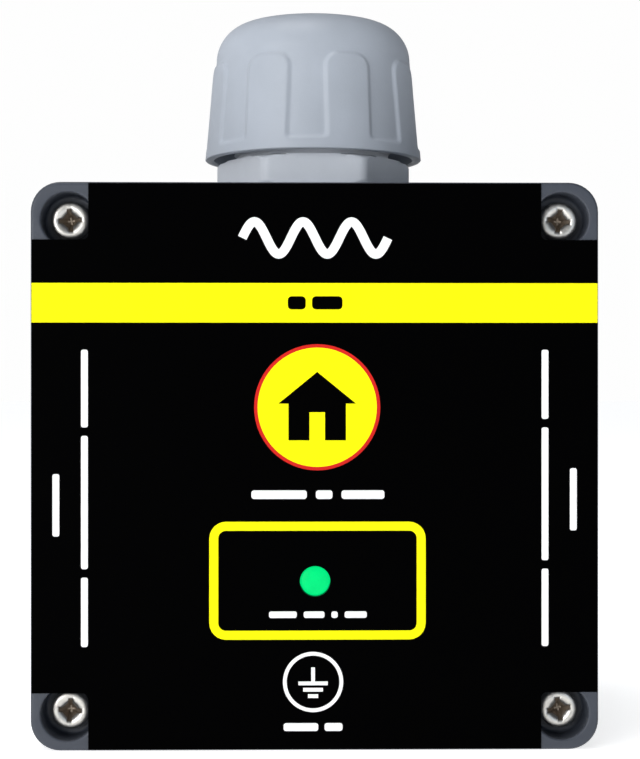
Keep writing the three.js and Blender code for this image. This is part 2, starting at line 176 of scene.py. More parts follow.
def metal(name, color, roughness=0.25):
    """Plated or turned metal with faint wear."""
    material = new_material(name, color, roughness, metallic=1.0)
    darker = tuple(c * 0.8 for c in color)
    vary(material, "Base Color", noise(material, 0.9, 5), darker, color)
    vary(material, "Roughness", noise(material, 0.5, 4), roughness, roughness + 0.16)
    bump(material, noise(material, 0.25, 3), 0.006)
    return material


def ink(name, color, roughness=0.42, specular=0.05):
    """Print under a satin film, with the film's slight ripple."""
    material = new_material(name, color, roughness, specular=specular)
    faded = tuple(c * 0.96 for c in color)
    vary(material, "Base Color", noise(material, 14, 3), faded, color)
    vary(material, "Roughness", noise(material, 5), roughness - 0.05, roughness + 0.08)
    bump(material, noise(material, 1.6, 2), 0.004)
    return material


housing_plastic = plastic("housing_plastic", (0.043, 0.050, 0.066), 0.46, 0.3, 0.018)
gland_nylon = plastic("gland_nylon", (0.380, 0.413, 0.466), 0.45, 0.4, 0.012, 0.4, 0.05)
# Painted light: the gland's own nylon made lighter for the hexagon and flange, to make up for the shade under
# the dome nut.
gland_nylon_painted_lighter = plastic("gland_nylon_painted_lighter", (0.60, 0.63, 0.68), 0.5, 0.4, 0.012, 0.35, 0.05)
seal_rubber = plastic("seal_rubber", (0.02, 0.022, 0.025), 0.75, 0.5, 0.02, 0.3)
clear_nylon = plastic("clear_nylon", (0.80, 0.78, 0.72), 0.4, 0.6, 0.008)
nickel = metal("nickel", (0.68, 0.66, 0.62), 0.3)
# Painted shade: a dark brown metal for the insides of screw recesses and slots, where shade falls.
recess_painted_shade = metal("recess_painted_shade", (0.30, 0.25, 0.20), 0.5)
brass = metal("brass", (0.72, 0.50, 0.20), 0.28)
film_black = ink("film_black", (0.0003, 0.0003, 0.0004), 0.5, 0.008)
ink_yellow = ink("ink_yellow", (1.0, 0.95, 0.004))
ink_white = ink("ink_white", (0.92, 0.92, 0.92))
ink_red = ink("ink_red", (0.62, 0.02, 0.015))
solder_mask = plastic("solder_mask", (0.012, 0.11, 0.045), 0.3, 1.2, 0.01, 0.5, 0.2)
track_mask = plastic("track_mask", (0.02, 0.18, 0.075), 0.28, 1.2, 0.01, 0.5, 0.15)
silk_white = ink("silk_white", (0.75, 0.76, 0.72), 0.6, 0.3)
tinned_copper = metal("tinned_copper", (0.78, 0.77, 0.72), 0.3)
varistor_blue = plastic("varistor_blue", (0.02, 0.085, 0.36), 0.28, 1.1, 0.03, 0.5, 0.15)
fuse_ceramic = plastic("fuse_ceramic", (0.70, 0.66, 0.56), 0.5, 0.4, 0.02)
capacitor_yellow = plastic("capacitor_yellow", (0.72, 0.40, 0.02), 0.35, 0.5, 0.01)
resistor_tan = plastic("resistor_tan", (0.55, 0.38, 0.18), 0.4, 0.4, 0.02)
resin_grey = plastic("resin_grey", (0.20, 0.19, 0.17), 0.4, 0.5, 0.02)
black_plastic = plastic("black_plastic", (0.012, 0.012, 0.014), 0.4, 0.4, 0.01)
terminal_green = plastic("terminal_green", (0.03, 0.22, 0.07), 0.42, 0.4, 0.015)


def lit_lens():
    """Clear green plastic, lit from behind, glowing evenly over the lens."""
    material = new_material("lit_lens", (0.0, 0.16, 0.04), 0.35, specular=0.05)
    glow(material, (0.0, 0.90, 0.24), 0.81)
    vary(material, "Base Color", noise(material, 1.5, 2), (0.0, 0.12, 0.03), (0.0, 0.20, 0.05))
    bump(material, noise(material, 0.8, 2), 0.004)
    return material


green_lens = lit_lens()


# ---- making pieces ----

def new_object(name, bm):
    bmesh.ops.recalc_face_normals(bm, faces=bm.faces)
    mesh = bpy.data.meshes.new(name)
    bm.to_mesh(mesh)
    bm.free()
    obj = bpy.data.objects.new(name, mesh)
    scene.collection.objects.link(obj)
    return obj


def shade(obj, sharp=35):
    """Soft shading on curves, crisp at edges of more than `sharp` degrees, even across flat faces."""
    for polygon in obj.data.polygons:
        polygon.use_smooth = True
    obj.data.set_sharp_from_angle(angle=math.radians(sharp))
    weighted = obj.modifiers.new("even_shading", "WEIGHTED_NORMAL")
    weighted.keep_sharp = True


def piece(name, bm, materials, body, slot, *replaced, sharp=35):
    """Turns a bmesh into a finished piece with its shading, materials, body and the CAD nodes it replaces."""
    obj = new_object(name, bm)
    for material in materials:
        obj.data.materials.append(material)
    shade(obj, sharp)
    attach(obj, body)
    if replaced:
        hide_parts(*replaced)
    return obj


def bridge(bm, a, b):
    """Faces between two rings of points; a ring of one point is a tip."""
    count = max(len(a), len(b))
    for i in range(count):
        j = (i + 1) % count
        if len(a) == 1:
            bm.faces.new((a[0], b[j], b[i]))
        elif len(b) == 1:
            bm.faces.new((a[i], a[j], b[0]))
        else:
            bm.faces.new((a[i], a[j], b[j], b[i]))


def flat(bm, *rings):
    """A flat face inside the first ring, with the other rings as holes."""
    points = [[v.co for v in ring] for ring in rings]
    corners = [v for ring in rings for v in ring]
    for triangle in tessellate_polygon(points):
        bm.faces.new([corners[i] for i in triangle])


def stack(bm, outline, steps):
    """Rings of one outline at (inset, height) steps, joined in turn. Gives the first and last ring."""
    first = last = None
    for inset, height in steps:
        ring = [bm.verts.new(facing_front(x, y, height)) for x, y in outline(inset)]
        if last:
            bridge(bm, last, ring)
        first = first or ring
        last = ring
    return first, last


def round_over(radius, height, direction=1, steps=4):
    """(inset, height) steps of a rounded edge that ends flat at `height`."""
    angles = [math.pi / 2 * k / steps for k in range(steps + 1)]
    return [(radius * (1 - math.cos(a)), height - direction * radius * (1 - math.sin(a))) for a in angles]


def circle(x, y, radius, sides=48):
    """An outline function: a circle that shrinks by its inset."""
    def outline(inset):
        return [(x + (radius - inset) * math.cos(2 * math.pi * k / sides),
                 y + (radius - inset) * math.sin(2 * math.pi * k / sides)) for k in range(sides)]
    return outline


def rounded_square(inset, steps=10):
    """The enclosure's outline, drawn in by its inset."""
    bend = max(CORNER_RADIUS - inset, 0.05)
    reach = HALF - inset - bend
    points = []
    for quarter in range(4):
        sx = 1 if quarter in (0, 3) else -1
        sy = 1 if quarter in (0, 1) else -1
        for k in range(steps + 1):
            a = math.pi / 2 * (quarter + k / steps)
            points.append((sx * reach + bend * math.cos(a), MIDDLE + sy * reach + bend * math.sin(a)))
    return points


CORNER_CUT = 14.65


def cut_square(inset):
    """The square with cut corners that lies inside the walls and passes inside the screws."""
    half = HALF - inset
    near = half - (CORNER_CUT - (2 - math.sqrt(2)) * inset)
    corners = [(half, near), (near, half), (-near, half), (-half, near),
               (-half, -near), (-near, -half), (near, -half), (half, -near)]
    return [(x, MIDDLE + y) for x, y in corners]


def turned(bm, profile, sides=96, place=upright, centre=(0, 0), relief=None):
    """A profile of (radius, height) turned about an axis.
    relief(angle, radius, height) gives the surface's radius there."""
    cx, cy = centre
    rings = []
    for radius, height in profile:
        if radius == 0:
            rings.append([bm.verts.new(place(cx, cy, height))])
            continue
        ring = []
        for k in range(sides):
            angle = 2 * math.pi * k / sides
            r = relief(angle, radius, height) if relief else radius
            ring.append(bm.verts.new(place(cx + r * math.cos(angle), cy + r * math.sin(angle), height)))
        rings.append(ring)
    for a, b in zip(rings, rings[1:]):
        bridge(bm, a, b)
    if len(rings[0]) > 1 and len(rings[-1]) > 1:
        bridge(bm, rings[-1], rings[0])


def turned_piece(name, profile, sides, materials, body, slot, node, centre=None, relief=None, sharp=35):
    """A turned piece: upright on the gland's axis, or facing the front when a centre (x, z) is given."""
    bm = bmesh.new()
    if centre:
        turned(bm, profile, sides, facing_front, centre, relief)
    else:
        turned(bm, profile, sides, relief=relief)
    return piece(name, bm, materials, body, slot, node, sharp=sharp)


def arc(cx, cy, radius, start, end, steps):
    """Points on an arc, angles in degrees."""
    angles = [math.radians(start + (end - start) * k / steps) for k in range(steps + 1)]
    return [(cx + radius * math.cos(angle), cy + radius * math.sin(angle)) for angle in angles]


# ---- enclosure shells ----

RIM_EDGE = 0.25  # broken edges that leave a fine line where the shells meet
BASE_RIM = RIM - 0.05
TONGUE_OUTSIDE, TONGUE_INSIDE = 1.2, 2.4
TONGUE_TOP = -base_low.y
INSERT_HOLE_RADIUS, INSERT_HOLE_DEPTH = 2.25, 9
GLAND_HOLE_RADIUS = 10.9
POSTS = [(sx * 27.5, up) for sx, up in ((1, 62.5), (-1, 62.5), (-1, 13.5), (1, 13.5))]
POST_RADIUS, POST_HEIGHT, POST_HOLE_RADIUS = 3.0, 7.5, 1.2
WALL_HOLES = [(sx * 34, MIDDLE + sy * 20) for sx, sy in ((1, 1), (-1, 1), (-1, -1), (1, -1))]
WALL_HOLE_RADIUS = 2.25


def cut_out(obj, bm):
    """Cuts a shape out of a piece, which needs its shading anew afterwards."""
    cutter = new_object("cutter", bm)
    boolean = obj.modifiers.new("cut", "BOOLEAN")
    boolean.operation = "DIFFERENCE"
    boolean.solver = "EXACT"
    boolean.object = cutter
    obj.modifiers.move(len(obj.modifiers) - 1, 0)
    bpy.context.view_layer.update()
    evaluated = obj.evaluated_get(bpy.context.evaluated_depsgraph_get())
    cut_mesh = bpy.data.meshes.new_from_object(evaluated)
    obj.modifiers.clear()
    obj.data = cut_mesh
    bpy.data.objects.remove(cutter)


def make_base():
    bm = bmesh.new()
    back_edge = round_over(1.0, BACK, -1, 6)[::-1]
    outer_back, outer_rim = stack(bm, rounded_square,
                                  back_edge + [(0, BASE_RIM - RIM_EDGE), (RIM_EDGE, BASE_RIM)])
    tongue_foot, tongue_top = stack(bm, cut_square,
                                    [(TONGUE_OUTSIDE, BASE_RIM), (TONGUE_OUTSIDE, TONGUE_TOP)])
    inner_foot, inner_top = stack(bm, cut_square, [(TONGUE_INSIDE, BASE_RIM), (TONGUE_INSIDE, TONGUE_TOP)])
    flat(bm, tongue_top, inner_top)
    insert_mouths = []
    for centre in CORNERS:
        mouth, bottom = stack(bm, circle(*centre, INSERT_HOLE_RADIUS, 32),
                              [(0, BASE_RIM), (0, BASE_RIM - INSERT_HOLE_DEPTH)])
        flat(bm, bottom)
        insert_mouths.append(mouth)
    flat(bm, outer_rim, tongue_foot, *insert_mouths)
    cavity_rim, cavity_floor = stack(bm, cut_square,
                                     [(WALL, BASE_RIM), (WALL, FLOOR + 1),
                                      (WALL + 0.3, FLOOR + 0.3), (WALL + 1, FLOOR)])
    flat(bm, inner_foot, cavity_rim)
    on_floor, on_back = [], []
    post_top = FLOOR + POST_HEIGHT
    for centre in POSTS:
        foot, top = stack(bm, circle(*centre, POST_RADIUS, 40),
                          [(-0.5, FLOOR), (-0.15, FLOOR + 0.15), (0, FLOOR + 0.5),
                           (0, post_top - 0.2), (0.2, post_top)])
        mouth, bottom = stack(bm, circle(*centre, POST_HOLE_RADIUS, 24), [(0, post_top), (0, FLOOR + 0.5)])
        flat(bm, top, mouth)
        flat(bm, bottom)
        on_floor.append(foot)
    for centre in WALL_HOLES:
        inside, outside = stack(bm, circle(*centre, WALL_HOLE_RADIUS, 40),
                                [(-0.3, FLOOR), (0, FLOOR - 0.3), (0, BACK)])
        on_floor.append(inside)
        on_back.append(outside)
    flat(bm, cavity_floor, *on_floor)
    flat(bm, outer_back, *on_back)
    base = piece("base_shell", bm, [housing_plastic], "root", "housing", "enclosure_base")
    gland_hole = bmesh.new()
    under, over = base_high.z - WALL - 1, base_high.z + 1
    turned(gland_hole, [(0, under), (GLAND_HOLE_RADIUS, under), (GLAND_HOLE_RADIUS, over), (0, over)], 64)
    cut_out(base, gland_hole)
    shade(base)


SCREW_HOLE_RADIUS = 1.8
RETAINER_HOLE_RADIUS = 3.2
GROOVE_OUTSIDE, GROOVE_INSIDE, GROOVE_DEPTH = 0.9, 2.7, 2.1


def make_lid():
    bm = bmesh.new()
    outer_rim, outer_front = stack(bm, rounded_square,
                                   [(RIM_EDGE, RIM), (0, RIM + RIM_EDGE)] + round_over(0.45, LID_FRONT))
    mouths, under_mouths = [], []
    for centre in CORNERS:
        mouth_edge = [(-i, h) for i, h in round_over(0.3, LID_FRONT)][::-1]
        floor_edge = round_over(0.5, POCKET_FLOOR, -1)
        mouth, floor = stack(bm, circle(*centre, POCKET_RADIUS, 64), mouth_edge + floor_edge)
        web_top, web_bottom = stack(bm, circle(*centre, SCREW_HOLE_RADIUS, 32),
                                    [(0, POCKET_FLOOR), (0, POCKET_FLOOR - WEB)])
        flat(bm, floor, web_top)
        under_top, under_rim = stack(bm, circle(*centre, RETAINER_HOLE_RADIUS),
                                     [(0, POCKET_FLOOR - WEB), (0, RIM)])
        flat(bm, under_top, web_bottom)
        mouths.append(mouth)
        under_mouths.append(under_rim)
    lens_front, lens_back = stack(bm, circle(0, LIGHT_HEIGHT, LENS_RADIUS + 0.15),
                                  [(0, LID_FRONT), (0, LID_INSIDE)])
    flat(bm, outer_front, lens_front, *mouths)
    groove_outer, groove_outer_top = stack(bm, cut_square,
                                           [(GROOVE_OUTSIDE, RIM), (GROOVE_OUTSIDE, RIM + GROOVE_DEPTH)])
    groove_inner, groove_inner_top = stack(bm, cut_square,
                                           [(GROOVE_INSIDE, RIM), (GROOVE_INSIDE, RIM + GROOVE_DEPTH)])
    flat(bm, groove_outer_top, groove_inner_top)
    flat(bm, outer_rim, groove_outer, *under_mouths)
    cavity_rim, cavity_top = stack(bm, cut_square, [(WALL, RIM), (WALL, LID_INSIDE)])
    flat(bm, groove_inner, cavity_rim)
    flat(bm, cavity_top, lens_back)
    piece("lid_shell", bm, [housing_plastic], "lid", "housing", "enclosure_lid")


def make_gasket():
    back, front = back_and_front("lid_gasket")
    bm = bmesh.new()
    outside, inside, edge = 1.0, 2.6, 0.1
    outer = stack(bm, cut_square, [(outside + edge, back), (outside, back + edge),
                                                 (outside, front - edge), (outside + edge, front)])
    inner = stack(bm, cut_square, [(inside - edge, back), (inside, back + edge),
                                                 (inside, front - edge), (inside - edge, front)])
    flat(bm, outer[0], inner[0])
    flat(bm, outer[1], inner[1])
    piece("gasket_ring", bm, [seal_rubber], "lid", "seal", "lid_gasket")


# ---- printed sheets: the face label and the board's legend ----

def rectangle(x0, y0, x1, y1):
    return [(x0, y0), (x1, y0), (x1, y1), (x0, y1)]


def rounded(x0, y0, x1, y1, radius, steps=6):
    left, right, bottom, top = x0 + radius, x1 - radius, y0 + radius, y1 - radius
    return (arc(right, top, radius, 0, 90, steps) + arc(left, top, radius, 90, 180, steps)
            + arc(left, bottom, radius, 180, 270, steps) + arc(right, bottom, radius, 270, 360, steps))


def rounded_about(x, y, half_width, half_height, radius):
    return rounded(x - half_width, y - half_height, x + half_width, y + half_height, radius)


def disc(x, y, radius, sides=72):
    return circle(x, y, radius, sides)(0)


def scaled(points, x, y, width, height):
    return [(x + px * width / 2, y + py * height / 2) for px, py in points]


def words(x, y, lengths, height, gap, upward=0):
    """A line of plain bars in place of words, centred on (x, y).
    upward is 1 or -1 for a line that runs up or down the side."""
    bars = []
    at = -(sum(lengths) + gap * (len(lengths) - 1)) / 2
    for length in lengths:
        ends = (at, at + length)
        if upward:
            low, high = sorted(y + upward * end for end in ends)
            bars.append(rounded(x - height / 2, low, x + height / 2, high, height * 0.3, 3))
        else:
            bars.append(rounded(x + ends[0], y - height / 2, x + ends[1], y + height / 2, height * 0.3, 3))
        at += length + gap
    return bars


def wave(x, y, width, height, periods, stroke, steps=120):
    """A thick sine line, as a closed outline."""
    upper, lower = [], []
    for k in range(steps + 1):
        t = k / steps
        phase = 2 * math.pi * periods * t
        slope = math.pi * periods * (height - stroke) / width * math.cos(phase)
        length = math.hypot(1, slope)
        nx, ny = -slope / length, 1 / length
        px, py = x + (t - 0.5) * width, y + (height - stroke) / 2 * math.sin(phase)
        upper.append((px + nx * stroke / 2, py + ny * stroke / 2))
        lower.append((px - nx * stroke / 2, py - ny * stroke / 2))
    return lower + upper[::-1]


def printed_sheet(bm, outline, prints, front, back):
    """A flat sheet whose front is divided by its prints, each an outline and a material number.
    Later prints lie over earlier ones, and a material number of None cuts a hole through the sheet."""
    shapes = [(outline, 0)] + prints
    points, rings = [], []
    for ring, _ in shapes:
        area = sum(a[0] * b[1] - b[0] * a[1] for a, b in zip(ring, ring[1:] + ring[:1]))
        ring = ring if area > 0 else ring[::-1]
        rings.append(list(range(len(points), len(points) + len(ring))))
        points += [Vector(p) for p in ring]
    places, _, triangles, _, _, owners = delaunay_2d_cdt(points, [], rings, 1, 1e-5)
    front_points = [bm.verts.new(facing_front(p.x, p.y, front)) for p in places]
    back_points = [bm.verts.new(facing_front(p.x, p.y, back)) for p in places]
    edges = {}
    for triangle, owner in zip(triangles, owners):
        number = shapes[max(owner)][1] if 0 in owner else None
        if number is None:
            continue
        face = bm.faces.new([front_points[i] for i in triangle])
        face.material_index = number
        bm.faces.new([back_points[i] for i in reversed(triangle)])
        for a, b in zip(triangle, triangle[1:] + triangle[:1]):
            if (b, a) in edges:
                del edges[(b, a)]
            else:
                edges[(a, b)] = True
    for a, b in edges:
        bm.faces.new((front_points[b], front_points[a], back_points[a], back_points[b]))
    bmesh.ops.delete(bm, geom=[v for v in bm.verts if not v.link_faces], context="VERTS")


LABEL_EDGE = 0.2
NOTCH = HALF - 8.35
NOTCH_RADIUS = 0.8
BLACK, YELLOW, WHITE, RED = range(4)


def label_outline():
    """A cross with small round inner corners, which leaves the lid's corners bare."""
    half = HALF - LABEL_EDGE
    bend = NOTCH + NOTCH_RADIUS
    points = []
    for quarter in range(4):
        corner = [(half, NOTCH)] + arc(bend, bend, NOTCH_RADIUS, 270, 180, 6) + [(NOTCH, half)]
        c, s = round(math.cos(quarter * math.pi / 2)), round(math.sin(quarter * math.pi / 2))
        points += [(c * x - s * y, MIDDLE + s * x + c * y) for x, y in corner]
    return points


HOUSE = [(0, 1), (1, 0.12), (0.74, 0.12), (0.74, -0.9), (-0.74, -0.9), (-0.74, 0.12), (-1, 0.12)]
DOOR = [(0.2, -0.9), (0.2, -0.12), (-0.2, -0.12), (-0.2, -0.9)]


def earth_sign(x, y, size, stroke):
    """The common sign for an earth terminal: a stem on three bars, each shorter than the one above."""
    half = stroke / 2
    bars = [rectangle(x - half, y, x + half, y + size * 0.5)]
    for k in range(3):
        reach = size * (0.46 - 0.15 * k)
        up = y - size * 0.2 * k
        bars.append(rectangle(x - reach, up - half, x + reach, up + half))
    return bars


BAND_LOW, BAND_HIGH = 61.7, 67.4
WAVE_HEIGHT = 73.9
MARK_X, MARK_HEIGHT, MARK_RADIUS, MARK_RING = 0.3, 49.5, 8.6, 0.5
HOUSE_SIZE = (MARK_X, MARK_HEIGHT - 0.1, 11.2, 10.4)
LIGHT_FRAME_X, LIGHT_FRAME_LOW, LIGHT_FRAME_HIGH = 0.35, 16.0, 33.0
LIGHT_FRAME_HALF, LIGHT_FRAME_STROKE, LIGHT_FRAME_BEND = 15.6, 1.3, 2.4
EARTH_X, EARTH_HEIGHT, EARTH_RADIUS, EARTH_RING = -0.3, 9.9, 4.35, 0.55
SIDE_LINE_X, OUTER_LINE_X = 33.2, 37.3


def light_frame(inset):
    left, right = LIGHT_FRAME_X - LIGHT_FRAME_HALF + inset, LIGHT_FRAME_X + LIGHT_FRAME_HALF - inset
    return rounded(left, LIGHT_FRAME_LOW + inset, right, LIGHT_FRAME_HIGH - inset, LIGHT_FRAME_BEND - inset)


def side_lines(side):
    """The two lines of words that run along one side of the label."""
    outer_middle = 36.2 if side > 0 else 35.4
    inner = words(side * SIDE_LINE_X, 36.4, [10.0, 19.2, 11.2], 1.0, 1.2, -side)
    return inner + words(side * OUTER_LINE_X, outer_middle, [9.0], 1.0, 0, -side)


def label_prints():
    """The label from top to bottom, then its sides, then the window for the lens."""
    beyond = HALF - LABEL_EDGE + 1
    prints = [(rectangle(-beyond, BAND_LOW, beyond, BAND_HIGH), YELLOW)]
    prints += [(bar, BLACK) for bar in words(0, (BAND_LOW + BAND_HIGH) / 2, [2.6, 4.4], 1.9, 0.9)]
    prints += [(wave(0, WAVE_HEIGHT, 21, 6.0, 3, 1.35), WHITE)]
    prints += [(disc(MARK_X, MARK_HEIGHT, MARK_RADIUS + MARK_RING), RED)]
    prints += [(disc(MARK_X, MARK_HEIGHT, MARK_RADIUS), YELLOW)]
    prints += [(scaled(HOUSE, *HOUSE_SIZE), BLACK), (scaled(DOOR, *HOUSE_SIZE), YELLOW)]
    prints += [(bar, WHITE) for bar in words(0.4, 36.9, [8.0, 2.4, 6.2], 1.25, 1.3)]
    prints += [(light_frame(0), YELLOW), (light_frame(LIGHT_FRAME_STROKE), BLACK)]
    prints += [(bar, WHITE) for bar in words(0.4, 19.6, [4.0, 3.0, 0.9, 3.2], 0.95, 1.0)]
    prints += [(disc(EARTH_X, EARTH_HEIGHT, EARTH_RADIUS), WHITE)]
    prints += [(disc(EARTH_X, EARTH_HEIGHT, EARTH_RADIUS - EARTH_RING), BLACK)]
    prints += [(bar, WHITE) for bar in earth_sign(EARTH_X, EARTH_HEIGHT - 0.2, 4.6, 0.55)]
    prints += [(bar, WHITE) for bar in words(EARTH_X, 3.4, [5.0, 2.6], 1.15, 0.9)]
    prints += [(bar, WHITE) for side in (-1, 1) for bar in side_lines(side)]
    prints += [(disc(0, LIGHT_HEIGHT, LENS_RADIUS + 0.1, 48), None)]
    return prints


def make_label():
    bm = bmesh.new()
    printed_sheet(bm, label_outline(), label_prints(), LABEL_FRONT, LABEL_FRONT - 0.18)
    piece("label_film", bm, [film_black, ink_yellow, ink_white, ink_red], "lid", "label", "face_label")


# ---- lid screws ----

HEAD_RADIUS = 2.75
HEAD_HEIGHT = 2.2
SHANK = 1.45
NECK = 1.25
SCREW_LENGTH = 18
THREAD_LENGTH = 8
M3_PITCH = 0.5
M3_DEPTH = 0.28


def saw(turns):
    """A smooth thread form, 0 at the crest and 1 at the root."""
    return 0.5 - 0.5 * math.cos(2 * math.pi * turns)


def helix(pitch, depth, low, high):
    """A relief that cuts a thread into a turned shape between two heights."""
    def relief(angle, radius, height):
        if not low < height < high:
            return radius
        return radius - depth * saw(height / pitch - angle / (2 * math.pi))
    return relief


def recess_wing(reach, half_width, depth):
    """One slot of a cross recess for a face at height 0, narrower and shorter towards its bottom."""
    corners = rectangle(-reach, half_width, reach, -half_width)
    top = [(x, y, 0.3) for x, y in corners]
    bottom = [(x * 0.3, y * 0.6, -depth) for x, y in corners]
    bm = bmesh.new()
    rings = [[bm.verts.new(facing_front(*point)) for point in ring] for ring in (top, bottom)]
    bridge(bm, *rings)
    for ring in rings:
        flat(bm, ring)
    return bm


def cut_recess(screw, centre, top, twist, reach=1.85, half_width=0.36, depth=1.5):
    """Cuts a cross recess with a deep middle into a screw's face at height `top`, its walls in the second
    material, painted shade.
    """
    place = Matrix.Translation(facing_front(*centre, top)) @ Matrix.Rotation(math.radians(twist), 4, "Y")
    middle = bmesh.new()
    width = reach * 0.78
    turned(middle, [(0, 0.3), (width, 0.3), (width, 0.0), (width * 0.35, -depth), (0, -depth * 1.1)],
           4, facing_front)
    wings = [recess_wing(reach, half_width, depth) for _ in range(2)]
    wings[1].transform(Matrix.Rotation(math.radians(90), 4, "Y"))
    for cutter in [*wings, middle]:
        cutter.transform(place)
        for face in cutter.faces:
            face.material_index = 1
        cut_out(screw, cutter)
    shade(screw)


def make_screw(number, centre, seat, twist):
    """A captive pan head screw with a cross recess, its thread only at its tip."""
    top = seat + HEAD_HEIGHT
    tip = seat - SCREW_LENGTH
    thread_top = tip + THREAD_LENGTH
    head = [(0, top), (2.1, top - 0.02), (2.42, top - 0.07), (2.6, top - 0.18), (2.7, top - 0.36),
            (HEAD_RADIUS, top - 0.65), (HEAD_RADIUS, seat + 0.12), (HEAD_RADIUS - 0.12, seat)]
    neck = [(SHANK, seat), (SHANK, seat - 0.4), (NECK, seat - 0.6), (NECK, thread_top + 0.3)]
    rows = int(THREAD_LENGTH / M3_PITCH * 5)
    thread = [(SHANK, thread_top - (THREAD_LENGTH - 0.5) * k / rows) for k in range(rows + 1)]
    screw = turned_piece(f"cross_screw_{number}", head + neck + thread + [(1.0, tip), (0, tip)], 48,
                         [nickel, recess_painted_shade], f"screw_{number}", "screw", f"lid_screw_{number}", centre,
                         helix(M3_PITCH, M3_DEPTH, tip + 0.1, thread_top + 0.01))
    cut_recess(screw, centre, top, twist)


def make_retainer(number, centre):
    back, front = back_and_front(f"screw_retainer_{number}")
    half = [(1.6, 0.15), (1.75, 0), (2.7, 0), (2.9, 0.2)]
    profile = [(r, back + h) for r, h in half] + [(r, front - h) for r, h in reversed(half)]
    turned_piece(f"retainer_ring_{number}", profile, 40, [clear_nylon], f"retainer_{number}", "nylon_clear",
                 f"screw_retainer_{number}", centre)


def make_insert(number, centre):
    """A brass insert with a knurled outside."""
    back, front = back_and_front(f"screw_insert_{number}")

    def knurl(angle, radius, height):
        return radius - 0.16 * saw(angle * 24 / (2 * math.pi)) if radius > 2.05 else radius

    bore, full, waist = 1.62, 2.1, 1.9
    profile = [(bore, back), (full - 0.15, back), (full, back + 0.3), (full, back + 2.4),
               (waist, back + 2.6), (waist, back + 3.4), (full, back + 3.6), (full, front - 0.3),
               (full - 0.15, front), (1.75, front), (bore, front - 0.15)]
    turned_piece(f"thread_insert_{number}", profile, 96, [brass], "root", "brass_insert",
                 f"screw_insert_{number}", centre, knurl)


# ---- status light ----

LIGHT = (0, LIGHT_HEIGHT)


def make_lens():
    back, front = back_and_front("status_lens")
    dome = [(0, front), (1.0, front - 0.03), (1.7, front - 0.12), (LENS_RADIUS - 0.08, front - 0.25),
            (LENS_RADIUS, front - 0.4)]
    flange = [(LENS_RADIUS, back + 1.0), (3.3, back + 1.0), (3.4, back + 0.9), (3.4, back), (0, back)]
    turned_piece("light_lens", dome + flange, 48, [green_lens], "lid", "lens", "status_lens", LIGHT)


def make_lamp():
    seat, tip = back_and_front("status_lamp")
    radius = 2.5
    flange = [(0, seat), (2.8, seat), (2.9, seat + 0.1), (2.9, seat + 0.9), (2.8, seat + 1.0)]
    flange += [(radius, seat + 1.05)]
    nose = arc(0, tip - radius, radius, 0, 80, 8) + [(0, tip)]
    turned_piece("lamp_body", flange + nose, 48, [green_lens], "root", "lens", "status_lamp", LIGHT)


def make_spacer():
    foot, top = back_and_front("lamp_spacer")
    profile = [(1.4, foot), (2.7, foot), (2.9, foot + 0.2), (2.9, top - 0.2), (2.7, top), (1.4, top)]
    turned_piece("spacer_tube", profile, 48, [clear_nylon], "root", "nylon_clear", "lamp_spacer", LIGHT)


# ---- cable gland ----

NUT_BOTTOM, NUT_TOP = nut_low.z, nut_high.z
NUT_FOOT = nut_high.x
NUT_SHOULDER = NUT_FOOT - 1.4
SHOULDER_HEIGHT = NUT_TOP - 6
NUT_HOLE = 7.2
NUT_BORE = 13.0
NUT_MOUTH = 15.8  # a counterbore that leaves a dark line over the hexagon
NUT_MOUTH_DEPTH = 3.0
PAD_COUNT = 8
PAD_TURNED = math.radians(-3.8)
PAD_HALF = 3.5
PAD_TOP = 103.0
PAD_CORNER = 2.2
PAD_PROUD = 0.4
PAD_SLOPE = 0.34
RIM_HEIGHT = 1.8
HEX_APOTHEM = 13.5
HEX_REACH = 15.3  # the hexagon's rounded corners
GLAND_PITCH = 1.5
GLAND_DEPTH = 0.6


def smooth_step(edge_low, edge_high, value):
    t = min(1, max(0, (value - edge_low) / (edge_high - edge_low)))
    return t * t * (3 - 2 * t)


def pad_mask(angle, radius, height):
    """1 on the nut's raised grip pads and foot band, 0 in the panels between them."""
    pitch = 2 * math.pi / PAD_COUNT
    from_middle = ((angle - PAD_TURNED) % pitch) - pitch / 2
    across = abs(from_middle) * radius - (PAD_HALF - PAD_CORNER)
    up = height - (PAD_TOP - PAD_CORNER)
    pad = math.hypot(max(across, 0), max(up, 0)) - PAD_CORNER
    band = height - (NUT_BOTTOM + RIM_HEIGHT)
    near = max(0, 0.8 - abs(pad - band)) / 0.8
    return 1 - smooth_step(-PAD_SLOPE, PAD_SLOPE, min(pad, band) - near * near * 0.2)


